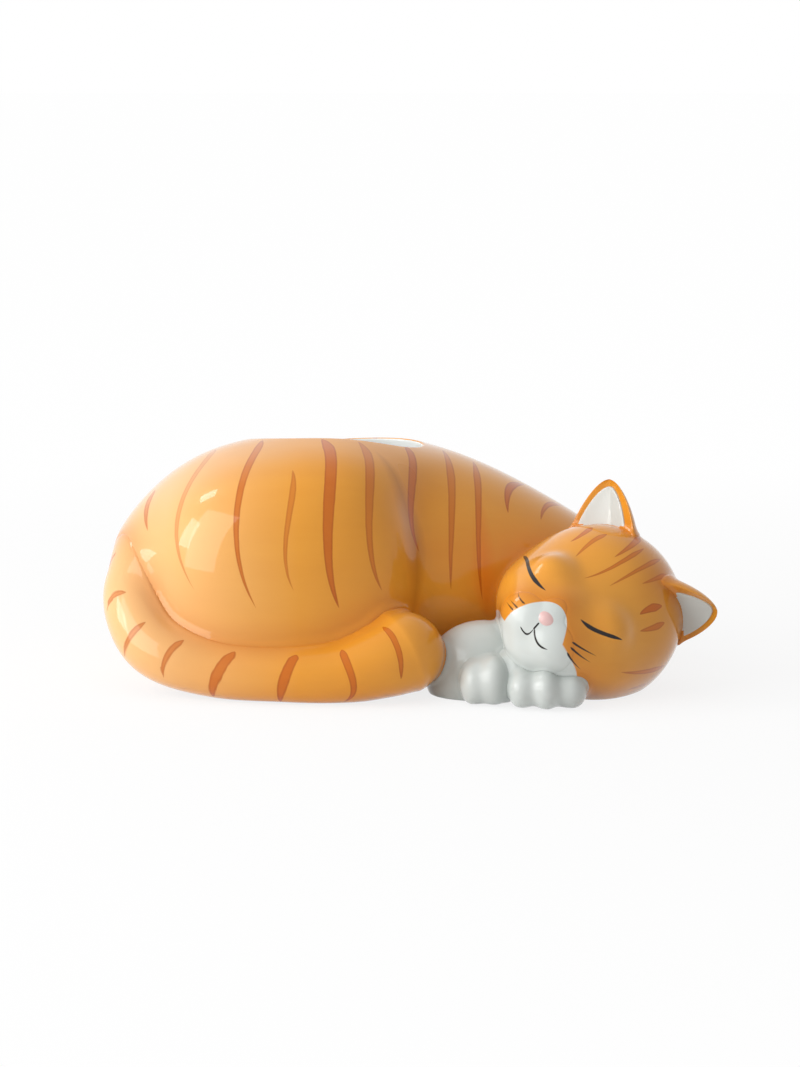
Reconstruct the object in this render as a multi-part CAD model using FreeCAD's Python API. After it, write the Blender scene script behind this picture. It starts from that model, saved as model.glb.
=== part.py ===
import FreeCAD, Part
import math
import os
from collections import namedtuple

# A sleeping cat of glazed slip-cast ceramic, curled on its side, whose back opens into a plant pot.
# X runs along the cat from rump to head, -Y is the side that the face and tail are on, and +Z is up.
# The origin is on the ground, under the middle of the whole cat. Lengths are in millimetres.
#
# Each piece is a rounded mass, or several masses melded with a soft valley between them. Its skin is
# found by going out from a point inside it until the melded surface is reached, in every direction.
# The pieces are luted to each other with slip, so each is cut back to the face that it is stuck on.

Vec = FreeCAD.Vector
Mass = namedtuple("Mass", "centre half squareness turn")

# The pot: its wall and floor, the oval mouth in the back and the drain under it. The hollow head has
# the same wall and floor, and a vent pinhole for the kiln.
WALL = 5.0
FLOOR = 6.0
LIP_CENTRE = (-31.0, 18.0)
LIP_HALF = (37.5, 28.0)
LIP_FROM = 60.0
DRAIN_CENTRE = (-31.0, 16.0)
DRAIN_RADIUS = 5.0
VENT_CENTRE = (72.0, -38.0)
VENT_RADIUS = 1.5

# Body: the barrel of the back, the shoulder that slopes to the neck, and the folded hind leg.
# The crease in front of the hind leg fades out towards the rump and up towards the mouth of the pot.
BARREL = Mass((-44.5, 19.5, 31), (81.4, 61.6, 63), 2.23, 0)
SHOULDER = Mass((38.9, 27, 30.7), (79, 44, 43.7), 2.0, 20)
HAUNCH = Mass((-45.3, -17.2, 41.5), (52.3, 42.9, 51.3), 2.8, -8)
SHOULDER_MELD = 46.0
HAUNCH_CREASE = 3.5
HAUNCH_MELD = 28.0
CREASE_FROM = (3.2, 66.0)
CREASE_FADES_OVER = (45.0, 26.0)
BODY_HEART = Vec(-29, 8, 36)
FURTHEST = 140.0

# Tail: a tapering coil of clay round the front of the rump, as points along its middle with its radius
TAIL_ROUTE = [
    ((-78, 12.5, 44), 17.0),
    ((-100.8, -3.5, 46.5), 16.0),
    ((-111.2, -23.5, 37.5), 14.3),
    ((-103, -43, 19.8), 13.2),
    ((-79, -53.5, 12), 11.5),
    ((-51, -59.3, 10.4), 11.0),
    ((-27, -61, 11.5), 12.2),
    ((-10.5, -59.4, 15.7), 14.8),
    ((-1.5, -56, 19), 17.2),
]

# Head, in its own axes: x to the cat's left, y out of the face, z to the crown
HEAD_CENTRE = Vec(72.2, -43.5, 33.5)
HEAD_ROLL = 42.0
HEAD_YAW = 22.0
CRANIUM = Mass((0.5, -13, -0.5), (36.8, 34.5, 38), 2.0, 0)
CHEEKS = Mass((0, 7.5, -10), (31.7, 26.3, 19.5), 2.0, 0)
CHEEK_MELD = 14.0
EYE_MOUND = Mass((14.5, 19.5, 4), (9.5, 8, 7.5), 2.0, 0)
EYE_MELD = 5.0
MUZZLE = [
    Mass((-8, 28.5, -15), (9, 8.5, 8.5), 2.0, 0),
    Mass((5, 28.5, -15), (9, 8.5, 8.5), 2.0, 0),
    Mass((-1.5, 25, -23), (9.5, 8, 7), 2.0, 0),
    Mass((-1.5, 27, -8), (6, 8, 8), 2.0, 0),
]
MUZZLE_MELD = 4.0
MUZZLE_HEART = (-1.5, 26, -16)
NOSE = Mass((-1.5, 35.2, -9.5), (3.3, 2.8, 2.3), 2.0, 0)

# Ears: root and tip in the head's axes, and how far each turns out from the face. Each has a hollow
# front between two rounded rims, a full back, and a white lining that is inlaid in the hollow.
EAR_RIGHT = (Vec(-20.5, -10, 28.5), Vec(-32.3, -10, 45))
EAR_LEFT = (Vec(26.5, -10, 25), Vec(37.6, -9, 36.4))
EAR_TURN_RIGHT = -26.0
EAR_TURN_LEFT = 54.0
EAR_HALF_WIDTH = 15.6
EAR_FULLNESS = 11.5
EAR_HOLLOW = 5.0
EAR_RIM = 2.0
EAR_ROOT = 0.5
EAR_BLUNT = 0.55
EAR_BACK_BLUNT = 0.4
EAR_AROUND = 28
LINING_SHARE = 0.76
LINING_SHIFT = 1.2
LINING_HEIGHT = 0.87
LINING_DEPTH = 1.0
LINING_CLEAR = 4.0
LINING_EDGE = 0.4

# Chest and forepaws: each paw is a rounded foot with its toes side by side at the front
CHEST = Mass((31, -44, 8), (24, 18, 22), 2.0, 0)
PAW_RIGHT = [
    Mass((32.7, -55, 9), (11, 14, 11), 2.0, 0),
    Mass((27, -63, 8), (6, 9, 9), 2.0, 0),
    Mass((34.7, -65, 9.5), (6.8, 9.5, 10), 2.0, 0),
    Mass((40.2, -62, 8), (4.5, 8, 8), 2.0, 0),
]
PAW_LEFT = [
    Mass((56.2, -61, 8), (15.5, 15, 10.5), 2.0, 0),
    Mass((45.7, -71, 7.5), (6, 9, 8), 2.0, 0),
    Mass((55.2, -73.5, 8), (6.2, 9, 8.5), 2.0, 0),
    Mass((65.2, -71.5, 7.5), (6.5, 9, 8), 2.0, 0),
    Mass((44.2, -60, 14), (9, 10, 9), 2.0, 0),
]
TOE_MELD = 3.0
PAW_RIGHT_HEART = Vec(33, -59, 8.5)
PAW_LEFT_HEART = Vec(55, -64, 8.5)


def meld(a, b, width):
    """The nearer of two distances, eased into each other where they differ by less than width."""
    overlap = max(width - abs(a - b), 0.0) / width
    return min(a, b) - overlap * overlap * width / 4


def distance(mass, p):
    """About how far p is outside the superellipsoid |x/a|^n + |y/b|^n + |z/c|^n = 1; negative inside."""
    angle = math.radians(mass.turn)
    x, y, z = (p[i] - mass.centre[i] for i in range(3))
    local = (x * math.cos(angle) - z * math.sin(angle), y, x * math.sin(angle) + z * math.cos(angle))
    n = mass.squareness
    ratios = [max(abs(c) / h, 1e-6) for c, h in zip(local, mass.half)]
    size = sum(r**n for r in ratios) ** (1 / n)
    slope = math.sqrt(sum((r ** (n - 1) / h * size ** (1 - n)) ** 2 for r, h in zip(ratios, mass.half)))
    return (size - 1) / slope


def body_distance(p):
    """The barrel and shoulder melded wide, and the haunch with a crease that fades to the rump."""
    trunk = meld(distance(BARREL, p), distance(SHOULDER, p), SHOULDER_MELD)
    behind = (CREASE_FROM[0] - p[0]) / CREASE_FADES_OVER[0]
    above = (p[2] - CREASE_FROM[1]) / CREASE_FADES_OVER[1]
    t = min(max(behind, above, 0.0), 1.0)
    soft = t * t * (3 - 2 * t)
    return meld(trunk, distance(HAUNCH, p), HAUNCH_CREASE + HAUNCH_MELD * soft)


def several(masses, width):
    """The distance to several masses melded one after the other."""

    def melded(p):
        d = distance(masses[0], p)
        for mass in masses[1:]:
            d = meld(d, distance(mass, p), width)
        return d

    return melded


def reach(field, start, way):
    """How far along way from start, a point inside, the field's surface is: halves the step each time."""
    low, high = 0.0, FURTHEST
    for _ in range(26):
        middle = (low + high) / 2
        p = start + way * middle
        if field((p.x, p.y, p.z)) < 0:
            low = middle
        else:
            high = middle
    return low


def skin(rows):
    """A closed solid from rows of points round an axis, the first and last row each a single point."""
    around, along = len(rows[1]), len(rows)
    poles = [[row[u % len(row)] for row in rows] for u in range(around)]
    surface = Part.BSplineSurface()
    surface.buildFromPolesMultsKnots(
        poles,
        [1] * (around + 1),
        [4] + [1] * (along - 4) + [4],
        [float(k) for k in range(around + 1)],
        [float(k) for k in range(along - 2)],
        True,
        False,
        3,
        3,
    )
    solid = Part.Solid(Part.Shell([surface.toShape()]))
    if solid.Volume < 0:
        solid.reverse()
    return solid


def radial_skin(field, heart, around=48, along=25):
    """The solid whose skin lies where the field is zero, seen from the heart in every direction."""
    rows = []
    for j in range(along):
        lift = math.pi * (j / (along - 1) - 0.5)
        turns = around if 0 < j < along - 1 else 1
        row = []
        for i in range(turns):
            swing = 2 * math.pi * i / around
            way = Vec(
                math.cos(lift) * math.cos(swing), math.cos(lift) * math.sin(swing), math.sin(lift)
            )
            row.append(heart + way * reach(field, heart, way))
        rows.append(row)
    return skin(rows)


def head_frame():
    """The head's axes: rolled over to the cat's left, then the face turned down to its right."""
    roll = math.radians(HEAD_ROLL)
    yaw = math.radians(HEAD_YAW)
    level = Vec(math.cos(roll), 0, -math.sin(roll))
    ahead = Vec(0, -1, 0)
    across = level * math.cos(yaw) + ahead * math.sin(yaw)
    out = ahead * math.cos(yaw) - level * math.sin(yaw)
    crown = Vec(math.sin(roll), 0, math.cos(roll))
    return across, out, crown


def head_distance(q):
    """The cranium and cheeks melded, with a low mound over each closed eye; q is in the head's axes."""
    skull = meld(distance(CRANIUM, q), distance(CHEEKS, q), CHEEK_MELD)
    return meld(skull, distance(EYE_MOUND, (abs(q[0]), q[1], q[2])), EYE_MELD)


def from_head(x, y, z):
    """A point given in the head's axes, in the cat's."""
    across, out, crown = head_frame()
    return HEAD_CENTRE + across * x + out * y + crown * z


def in_head(field):
    """The same field, for points given in the cat's axes."""
    across, out, crown = head_frame()

    def turned(p):
        q = Vec(*p) - HEAD_CENTRE
        return field((q.dot(across), q.dot(out), q.dot(crown)))

    return turned


def below(level):
    """Everything under the cat, up to a level above the surface that it lies on."""
    return Part.makeBox(400, 300, 60 + level, Vec(-200, -150, -60))


def lip_cutter():
    """An upright oval prism through the back, where the pot opens."""
    oval = Part.Ellipse(Vec(*LIP_CENTRE, LIP_FROM), *LIP_HALF).toShape()
    return Part.Face(Part.Wire([oval])).extrude(Vec(0, 0, LIP_FROM))


def make_body(outer):
    """The pot: a wall of even thickness round the cast hollow, open at the lip and drained below."""
    hollow = radial_skin(lambda p: body_distance(p) + WALL, BODY_HEART).cut(below(FLOOR))
    drain = Part.makeCylinder(DRAIN_RADIUS, 3 * FLOOR, Vec(*DRAIN_CENTRE, -FLOOR))
    return outer.cut(below(0)).cut(hollow).cut(lip_cutter()).cut(drain)


def tail_stations(per_span=4):
    """Points and radii along a smooth curve through the tail's route."""
    points = [Vec(*p) for p, _ in TAIL_ROUTE]
    radii = [r for _, r in TAIL_ROUTE]
    last = len(points) - 1
    stations = []
    for k in range(last * per_span + 1):
        i, t = min(k // per_span, last - 1), k / per_span - min(k // per_span, last - 1)
        a, b, c, d = (points[min(max(i + n, 0), last)] for n in (-1, 0, 1, 2))
        bend = (b * 3 - a - c * 3 + d) * t**3 + (a * 2 - b * 5 + c * 4 - d) * t**2
        stations.append(((b * 2 + (c - a) * t + bend) * 0.5, radii[i] + (radii[i + 1] - radii[i]) * t))
    return stations


def make_tail():
    """A round coil along the tail's route, with domed ends."""
    stations = tail_stations()
    cap_steps, around = 4, 24
    rows = []
    for k, (middle, radius) in enumerate(stations):
        along = stations[min(k + 1, len(stations) - 1)][0] - stations[max(k - 1, 0)][0]
        along.normalize()
        side = along.cross(Vec(0, 0, 1)).normalize()
        rise = side.cross(along)
        ends = {0: -1, len(stations) - 1: 1}
        steps = [0.0]
        if k in ends:
            steps = [math.pi / 2 * c / cap_steps for c in range(cap_steps + 1)]
        if k == 0:
            steps.reverse()
        for lean in steps:
            centre = middle + along * (ends.get(k, 0) * radius * math.sin(lean))
            wide = radius * math.cos(lean)
            turns = 1 if wide < 1e-6 else around
            angles = [2 * math.pi * i / around for i in range(turns)]
            rows.append([centre + side * (wide * math.cos(a)) + rise * (wide * math.sin(a)) for a in angles])
    return skin(rows)


def ear_taper(lean, blunt):
    """How an ear narrows from 1 at its root line to 0 at its tip; the blunt share rounds the tip off."""
    return blunt * math.cos(lean) + (1 - blunt) * (1 - math.sin(lean))


def ear_front(t, x):
    """How far the hollow front stands out at a share t up the ear and a share x of its half width."""
    lift = math.cos(math.asin(t))
    s = math.sqrt(max(1 - x * x, 0.0))
    return (EAR_RIM * s - EAR_HOLLOW * s * s) * lift


def ear_ring(lean):
    """The outline of the whole ear across one level: two rims, the hollow between them, a full back."""
    t = math.sin(lean)
    width = EAR_HALF_WIDTH * ear_taper(lean, EAR_BLUNT)
    full = EAR_FULLNESS * ear_taper(lean, EAR_BACK_BLUNT)
    ring = []
    for i in range(EAR_AROUND):
        angle = 2 * math.pi * i / EAR_AROUND
        x, s = math.cos(angle), math.sin(angle)
        ring.append((width * x, ear_front(t, x) if s > 0 else full * s))
    return t, ring


def lining_ring(lean, shift):
    """The outline of the lining's blank: its back follows the hollow and its front stands clear of it."""
    t = LINING_HEIGHT * math.sin(lean)
    width = EAR_HALF_WIDTH * ear_taper(math.asin(t), EAR_BLUNT)
    narrow = ear_taper(lean, EAR_BLUNT)
    ring = []
    for i in range(EAR_AROUND):
        angle = 2 * math.pi * i / EAR_AROUND
        s = math.sin(angle)
        across = (EAR_HALF_WIDTH * LINING_SHARE * math.cos(angle) + shift) * narrow
        clear = LINING_CLEAR * s if s > 0 else -LINING_DEPTH * abs(s) ** LINING_EDGE
        ring.append((across, ear_front(t, across / width if narrow > 0 else 0.0) + clear))
    return t, ring


def ear_skin(root, tip, turn, ring_of):
    """A skin over rings from below the root of an ear to its tip. ring_of gives, at a lean from below
    level up to a quarter turn, the share of the height and the points across and out of one ring."""
    up = tip - root
    height = up.Length
    up.normalize()
    angle = math.radians(turn)
    across = up.cross(Vec(math.sin(angle), math.cos(angle), 0)).normalize()
    facing = across.cross(up)
    steps = 14
    rows = []
    for j in range(steps + 1):
        t, ring = ring_of((math.pi / 2 + EAR_ROOT) * j / steps - EAR_ROOT)
        middle = root + up * (height * t)
        points = [middle + across * x + facing * y for x, y in ring]
        if j == 0:
            rows.append([sum(points, Vec()) * (1 / len(points))])
        rows.append(points if j < steps else points[:1])
    return skin([[from_head(*p) for p in row] for row in rows])


def make_ear(root, tip, turn):
    """An ear with the seat of its lining cut out, and the white lining that fills that seat."""
    shift = math.copysign(LINING_SHIFT, -turn)
    whole = ear_skin(root, tip, turn, ear_ring)
    blank = ear_skin(root, tip, turn, lambda lean: lining_ring(lean, shift))
    return whole.cut(blank), whole.common(blank)


def make_head(outer):
    """The hollow cast head, before it is cut to the body, with a vent pinhole in its underside."""
    hollow = radial_skin(in_head(lambda q: head_distance(q) + WALL), HEAD_CENTRE, 40, 21)
    vent = Part.makeCylinder(VENT_RADIUS, 2 * FLOOR, Vec(*VENT_CENTRE, -1))
    return outer.cut(hollow.cut(below(FLOOR))).cut(vent).cut(below(0))


def cut_all(piece, others):
    """The piece, cut back to the face of each of the others that it touches."""
    for other in others:
        piece = piece.cut(other)
    return piece


if __name__ == "__main__":
    os.makedirs("parts", exist_ok=True)
    ground = below(0)
    body = radial_skin(body_distance, BODY_HEART)
    head = radial_skin(in_head(head_distance), HEAD_CENTRE, 48, 27)
    muzzle = radial_skin(in_head(several(MUZZLE, MUZZLE_MELD)), from_head(*MUZZLE_HEART), 40, 21)
    nose = radial_skin(in_head(lambda q: distance(NOSE, q)), from_head(*NOSE.centre), 16, 9)
    chest = radial_skin(lambda p: distance(CHEST, p), Vec(*CHEST.centre), 36, 19)
    paw_right = radial_skin(several(PAW_RIGHT, TOE_MELD), PAW_RIGHT_HEART)
    paw_left = radial_skin(several(PAW_LEFT, TOE_MELD), PAW_LEFT_HEART)
    tail = make_tail()
    ear_right, lining_right = make_ear(*EAR_RIGHT, EAR_TURN_RIGHT)
    ear_left, lining_left = make_ear(*EAR_LEFT, EAR_TURN_LEFT)
    chest_cut = chest.cut(ground)
    pieces = {
        "body_shell": make_body(body),
        "tail": cut_all(tail, [body, ground]),
        "head_shell": make_head(head).cut(body),
        "muzzle": muzzle.cut(head),
        "nose": cut_all(nose, [muzzle, head]),
        "ear_right": cut_all(ear_right, [head, body]),
        "ear_left": cut_all(ear_left, [head, body]),
        "ear_lining_right": cut_all(lining_right, [head, body]),
        "ear_lining_left": cut_all(lining_left, [head, body]),
        "chest": cut_all(chest_cut, [body, head, tail, muzzle]),
        "forepaw_right": cut_all(paw_right, [chest_cut, body, head, tail, muzzle, ground]),
        "forepaw_left": cut_all(paw_left, [chest_cut, body, head, tail, muzzle, ground, paw_right]),
    }
    for name, piece in pieces.items():
        piece.exportStep(f"parts/{name}.step")
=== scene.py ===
# %% [markdown]
# # A sleeping cat planter in glazed ceramic
# The real thing is slip-cast: a hollow body and head, with a tail, ears, muzzle, chest and paws luted on,
# painted with coloured glazes and fired under a clear glossy coat. Every piece here is a surface worked out
# with numpy, in millimetres like the solids that it dresses, and turned into metres when its mesh is made.

import bpy
import numpy as np
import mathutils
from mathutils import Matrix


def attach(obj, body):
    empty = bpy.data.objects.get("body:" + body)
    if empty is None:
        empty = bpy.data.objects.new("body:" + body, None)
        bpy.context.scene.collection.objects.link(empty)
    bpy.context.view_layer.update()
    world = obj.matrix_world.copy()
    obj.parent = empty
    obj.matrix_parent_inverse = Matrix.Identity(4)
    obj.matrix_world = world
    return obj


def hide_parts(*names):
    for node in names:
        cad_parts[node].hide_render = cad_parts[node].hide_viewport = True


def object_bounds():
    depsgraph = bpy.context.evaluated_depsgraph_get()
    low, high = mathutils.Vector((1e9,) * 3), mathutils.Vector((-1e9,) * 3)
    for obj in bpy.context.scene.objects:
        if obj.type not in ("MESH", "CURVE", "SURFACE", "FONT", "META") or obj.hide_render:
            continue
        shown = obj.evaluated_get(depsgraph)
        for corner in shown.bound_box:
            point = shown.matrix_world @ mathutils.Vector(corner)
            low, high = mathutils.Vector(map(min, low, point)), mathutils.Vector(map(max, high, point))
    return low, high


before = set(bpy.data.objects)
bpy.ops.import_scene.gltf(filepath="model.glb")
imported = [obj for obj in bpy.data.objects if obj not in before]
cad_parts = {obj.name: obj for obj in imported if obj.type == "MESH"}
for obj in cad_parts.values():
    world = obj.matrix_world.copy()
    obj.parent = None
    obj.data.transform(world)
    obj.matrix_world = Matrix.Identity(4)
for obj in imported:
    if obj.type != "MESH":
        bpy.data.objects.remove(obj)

cad_low, cad_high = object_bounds()
MM = 0.001
print("the frame holds", len(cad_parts), "pieces; its box is", cad_low, cad_high)

# %% [markdown]
# ## Rounded masses
# A clay form is thought of as a few egg-like masses pressed together. Each has a formula for how far a point
# is outside it, and two formulas are melded so that the valley between them is soft. Metaballs do this in
# Blender too, but a formula can be asked about any point, which the later steps need.


# %% Distances and how they meld
def egg(p, centre, half, squareness=2.0, turn=0.0):
    """Distance from the superellipsoid |x/a|^n + |y/b|^n + |z/c|^n = 1, turned in the upright plane."""
    angle, q = np.radians(turn), p - np.array(centre, float)
    x = q[..., 0] * np.cos(angle) - q[..., 2] * np.sin(angle)
    z = q[..., 0] * np.sin(angle) + q[..., 2] * np.cos(angle)
    half = np.array(half, float)
    ratio = np.maximum(np.abs(np.stack([x, q[..., 1], z], -1)) / half, 1e-6)
    size = (ratio**squareness).sum(-1) ** (1 / squareness)
    slope = ratio ** (squareness - 1) / half * size[..., None] ** (1 - squareness)
    return (size - 1) / np.linalg.norm(slope, axis=-1)


def meld(a, b, width):
    """The smaller distance, less a quarter of width where the two are equal, eased to nothing at width."""
    overlap = np.maximum(width - np.abs(a - b), 0.0) / width
    return np.minimum(a, b) - overlap**2 * width / 4


def halve(before, low, high, steps):
    """The values between low and high where before turns from true to false, closed in on by halving."""
    for _ in range(steps):
        middle = (low + high) / 2
        early = before(middle)
        low, high = np.where(early, middle, low), np.where(early, high, middle)
    return low, high


def melded(masses, width):
    """The distance to several masses, melded one after the other."""

    def field(p):
        d = egg(p, *masses[0])
        for mass in masses[1:]:
            d = meld(d, egg(p, *mass), width)
        return d

    return field


# %% [markdown]
# ## The masses of this cat
# The barrel of the back melds wide into the shoulder. The haunch is squarer, and the crease in front of it
# fades towards the rump and the mouth of the pot. The head has axes of its own, because it rolls over on the
# paws: they are given here once, and every point of the face is stated in them.

# %% Body, head and paws as distances
WALL, FLOOR = 5.0, 6.0
BARREL = ((-44.5, 19.5, 31), (81.4, 61.6, 63), 2.23)
SHOULDER = ((38.9, 27, 30.7), (79, 44, 43.7), 2.0, 20)
HAUNCH = ((-45.3, -17.2, 41.5), (52.3, 42.9, 51.3), 2.8, -8)
BODY_HEART = np.array([-29.0, 8, 36])
# How wide the masses meld, in millimetres: the barrel with the shoulder, then the haunch, in its crease and
# past the ends of it. The crease fades as far as CREASE_FADE to the left of its end, and CREASE_RISE up.
TRUNK_MELD = 46.0
CREASE_MELD, OPEN_MELD = 3.5, 31.5
CREASE_END, CREASE_FADE = 3.2, 45.0
CREASE_TOP, CREASE_RISE = 66.0, 26.0
HEAD_CENTRE = np.array([72.2, -43.5, 33.5])
ROLL, YAW = np.radians(42.0), np.radians(22.0)
level = np.array([np.cos(ROLL), 0, -np.sin(ROLL)])
ahead = np.array([0.0, -1, 0])
HEAD_AXES = np.stack(
    [
        level * np.cos(YAW) + ahead * np.sin(YAW),
        ahead * np.cos(YAW) - level * np.sin(YAW),
        np.array([np.sin(ROLL), 0, np.cos(ROLL)]),
    ]
)
CRANIUM = ((0.5, -13, -0.5), (36.8, 34.5, 38))
CHEEKS = ((0, 7.5, -10), (31.7, 26.3, 19.5))
EYE_MOUND = ((14.5, 19.5, 4), (9.5, 8, 7.5))
SKULL_MELD, EYE_MELD, MUZZLE_MELD, TOE_MELD = 14.0, 5.0, 4.0, 3.0
MUZZLE = [
    ((-8, 28.5, -15), (9, 8.5, 8.5)),
    ((5, 28.5, -15), (9, 8.5, 8.5)),
    ((-1.5, 25, -23), (9.5, 8, 7)),
    ((-1.5, 27, -8), (6, 8, 8)),
]
NOSE = ((-1.5, 35.2, -9.5), (3.3, 2.8, 2.3))
CHEST = ((31, -44, 8), (24, 18, 22))
PAW_RIGHT = [
    ((32.7, -55, 9), (11, 14, 11)),
    ((27, -63, 8), (6, 9, 9)),
    ((34.7, -65, 9.5), (6.8, 9.5, 10)),
    ((40.2, -62, 8), (4.5, 8, 8)),
]
PAW_LEFT = [
    ((56.2, -61, 8), (15.5, 15, 10.5)),
    ((45.7, -71, 7.5), (6, 9, 8)),
    ((55.2, -73.5, 8), (6.2, 9, 8.5)),
    ((65.2, -71.5, 7.5), (6.5, 9, 8)),
    ((44.2, -60, 14), (9, 10, 9)),
]


def to_head(p):
    """A point of the cat, in the head's axes: across to its left, out of the face, up to the crown."""
    return (p - HEAD_CENTRE) @ HEAD_AXES.T


def from_head(q):
    """A point in the head's axes, back in the cat's."""
    return HEAD_CENTRE + np.asarray(q, float) @ HEAD_AXES


def body_field(p):
    """Barrel melded with shoulder, melded with the haunch by a width that grows as the crease fades."""
    trunk = meld(egg(p, *BARREL), egg(p, *SHOULDER), TRUNK_MELD)
    leftward = (CREASE_END - p[..., 0]) / CREASE_FADE
    upward = (p[..., 2] - CREASE_TOP) / CREASE_RISE
    fade = np.clip(np.maximum(leftward, upward), 0, 1)
    return meld(trunk, egg(p, *HAUNCH), CREASE_MELD + (OPEN_MELD - CREASE_MELD) * fade**2 * (3 - 2 * fade))


def head_field(p):
    """Cranium melded with cheeks, with a low mound over each closed eye."""
    q = to_head(p)
    skull = meld(egg(q, *CRANIUM), egg(q, *CHEEKS), SKULL_MELD)
    mirrored = np.stack([np.abs(q[..., 0]), q[..., 1], q[..., 2]], -1)
    return meld(skull, egg(mirrored, *EYE_MOUND), EYE_MELD)


def muzzle_field(p):
    """The two whisker pads, the chin and the bridge of the nose."""
    return melded(MUZZLE, MUZZLE_MELD)(to_head(p))


def nose_field(p):
    """A small egg at the end of the bridge."""
    return egg(to_head(p), *NOSE)


def chest_field(p):
    """One upright egg between the tail and the chin."""
    return egg(p, *CHEST)


paw_right_field = melded(PAW_RIGHT, TOE_MELD)
paw_left_field = melded(PAW_LEFT, TOE_MELD)
print("the forehead is", round(float(body_field(from_head([0, 30, 20]))), 1), "mm clear of the body")

# %% [markdown]
# ## A skin through points
# The solids are smooth cubic surfaces through a coarse net of poles. The same net and the same cubic weights
# give the same surface here, at any fineness. A subdivision surface would do nearly that, but its limit is
# not quite the solid's, and pieces that touch need to agree.


# %% Cubic weights round and along a net
def weights_round(u, count):
    """The cubic weight of each of count even poles round a closed line, at u in turns."""
    d = np.abs((u[..., None] * count - np.arange(count) + count / 2) % count - count / 2)
    return np.where(d < 1, 2 / 3 - d * d + d**3 / 2, np.where(d < 2, (2 - d) ** 3 / 6, 0.0))


def weights_along(v, count):
    """The cubic weight of each pole along a line that starts and ends on a pole, at v from 0 to 1: the
    Cox and de Boor rule, which builds each weight from two of one degree less."""
    knots = np.concatenate([np.zeros(3), np.linspace(0, 1, count - 2), np.ones(3)])
    v = np.clip(v, 0, 1 - 1e-9)[..., None]
    w = ((v >= knots[:-1]) & (v < knots[1:])).astype(float)
    for degree in (1, 2, 3):
        rise = np.maximum(knots[degree:-1] - knots[: -degree - 1], 1e-12)
        fall = np.maximum(knots[degree + 1 :] - knots[1:-degree], 1e-12)
        up = (v - knots[: -degree - 1]) / rise * (knots[degree:-1] > knots[: -degree - 1])
        down = (knots[degree + 1 :] - v) / fall * (knots[degree + 1 :] > knots[1:-degree])
        w = up * w[..., :-1] + down * w[..., 1:]
    return w


def on_skin(net, u, v):
    """Points of the skin over net, an array of rows of poles, at u turns round and v along."""
    a, b = weights_round(u, net.shape[1]), weights_along(v, net.shape[0])
    columns = np.einsum("nb,bak->nak", b.reshape(-1, net.shape[0]), net, optimize=True)
    return np.einsum("na,nak->nk", a.reshape(-1, net.shape[1]), columns, optimize=True).reshape(*u.shape, 3)


FAR = 140.0


def radial_net(field, heart, around, along):
    """Poles where the rays out of a heart leave the field: its sign is tested at halved steps."""
    lift = np.pi * (np.arange(along) / (along - 1) - 0.5)[:, None]
    swing = 2 * np.pi * np.arange(around)[None] / around
    flat = np.cos(lift) * (np.abs(np.abs(lift) - np.pi / 2) > 1e-9)
    way = np.stack([flat * np.cos(swing), flat * np.sin(swing), np.sin(lift) + 0 * swing], -1)
    none, far = np.zeros((along, around)), np.full((along, around), FAR)
    reach, _ = halve(lambda r: field(heart + way * r[..., None]) < 0, none, far, 26)
    return heart + way * reach[..., None]


print("the weights of a net of 9 poles add up to", weights_along(np.array([0.37]), 9).sum().round(6))


# %% [markdown]
# ## From a grid to a mesh
# A piece is a grid of points. Its columns always close on themselves. Its rows either end in a single point
# at each end, as on an egg, or close on themselves too, as on a ring. The grid is handed to Blender in two
# foreach_set calls, with a UV map of its own for the painted pattern and a value that says where glaze pools.


# %% Normals of a grid, soft floors and the mesh builder
def grid_normals(p, ring=False):
    """Outward unit normals: the cross product of the differences along rows and columns, turned so that
    the closed surface holds a positive volume."""
    across = np.roll(p, -1, 1) - np.roll(p, 1, 1)
    if ring:
        along = np.roll(p, -1, 0) - np.roll(p, 1, 0)
    else:
        along = np.gradient(p, axis=0)
    n = np.cross(across, along)
    n = n * np.sign((p * n).sum())
    n = n / np.maximum(np.linalg.norm(n, axis=-1, keepdims=True), 1e-9)
    if not ring:
        n[0], n[-1] = n[1].mean(0), n[-2].mean(0)
        n[0] /= np.linalg.norm(n[0])
        n[-1] /= np.linalg.norm(n[-1])
    return n


def settle(p, level=0.0, width=1.2):
    """The heights eased up to a level, so that a piece stands on a flat foot with a small round edge."""
    z = -meld(-p[..., 2], np.full(p.shape[:-1], -level), width)
    return np.concatenate([p[..., :2], np.maximum(z, level)[..., None]], -1)


# The dressed pieces stay this many millimetres inside the solids' own box.
SKIN = 0.02


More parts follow.
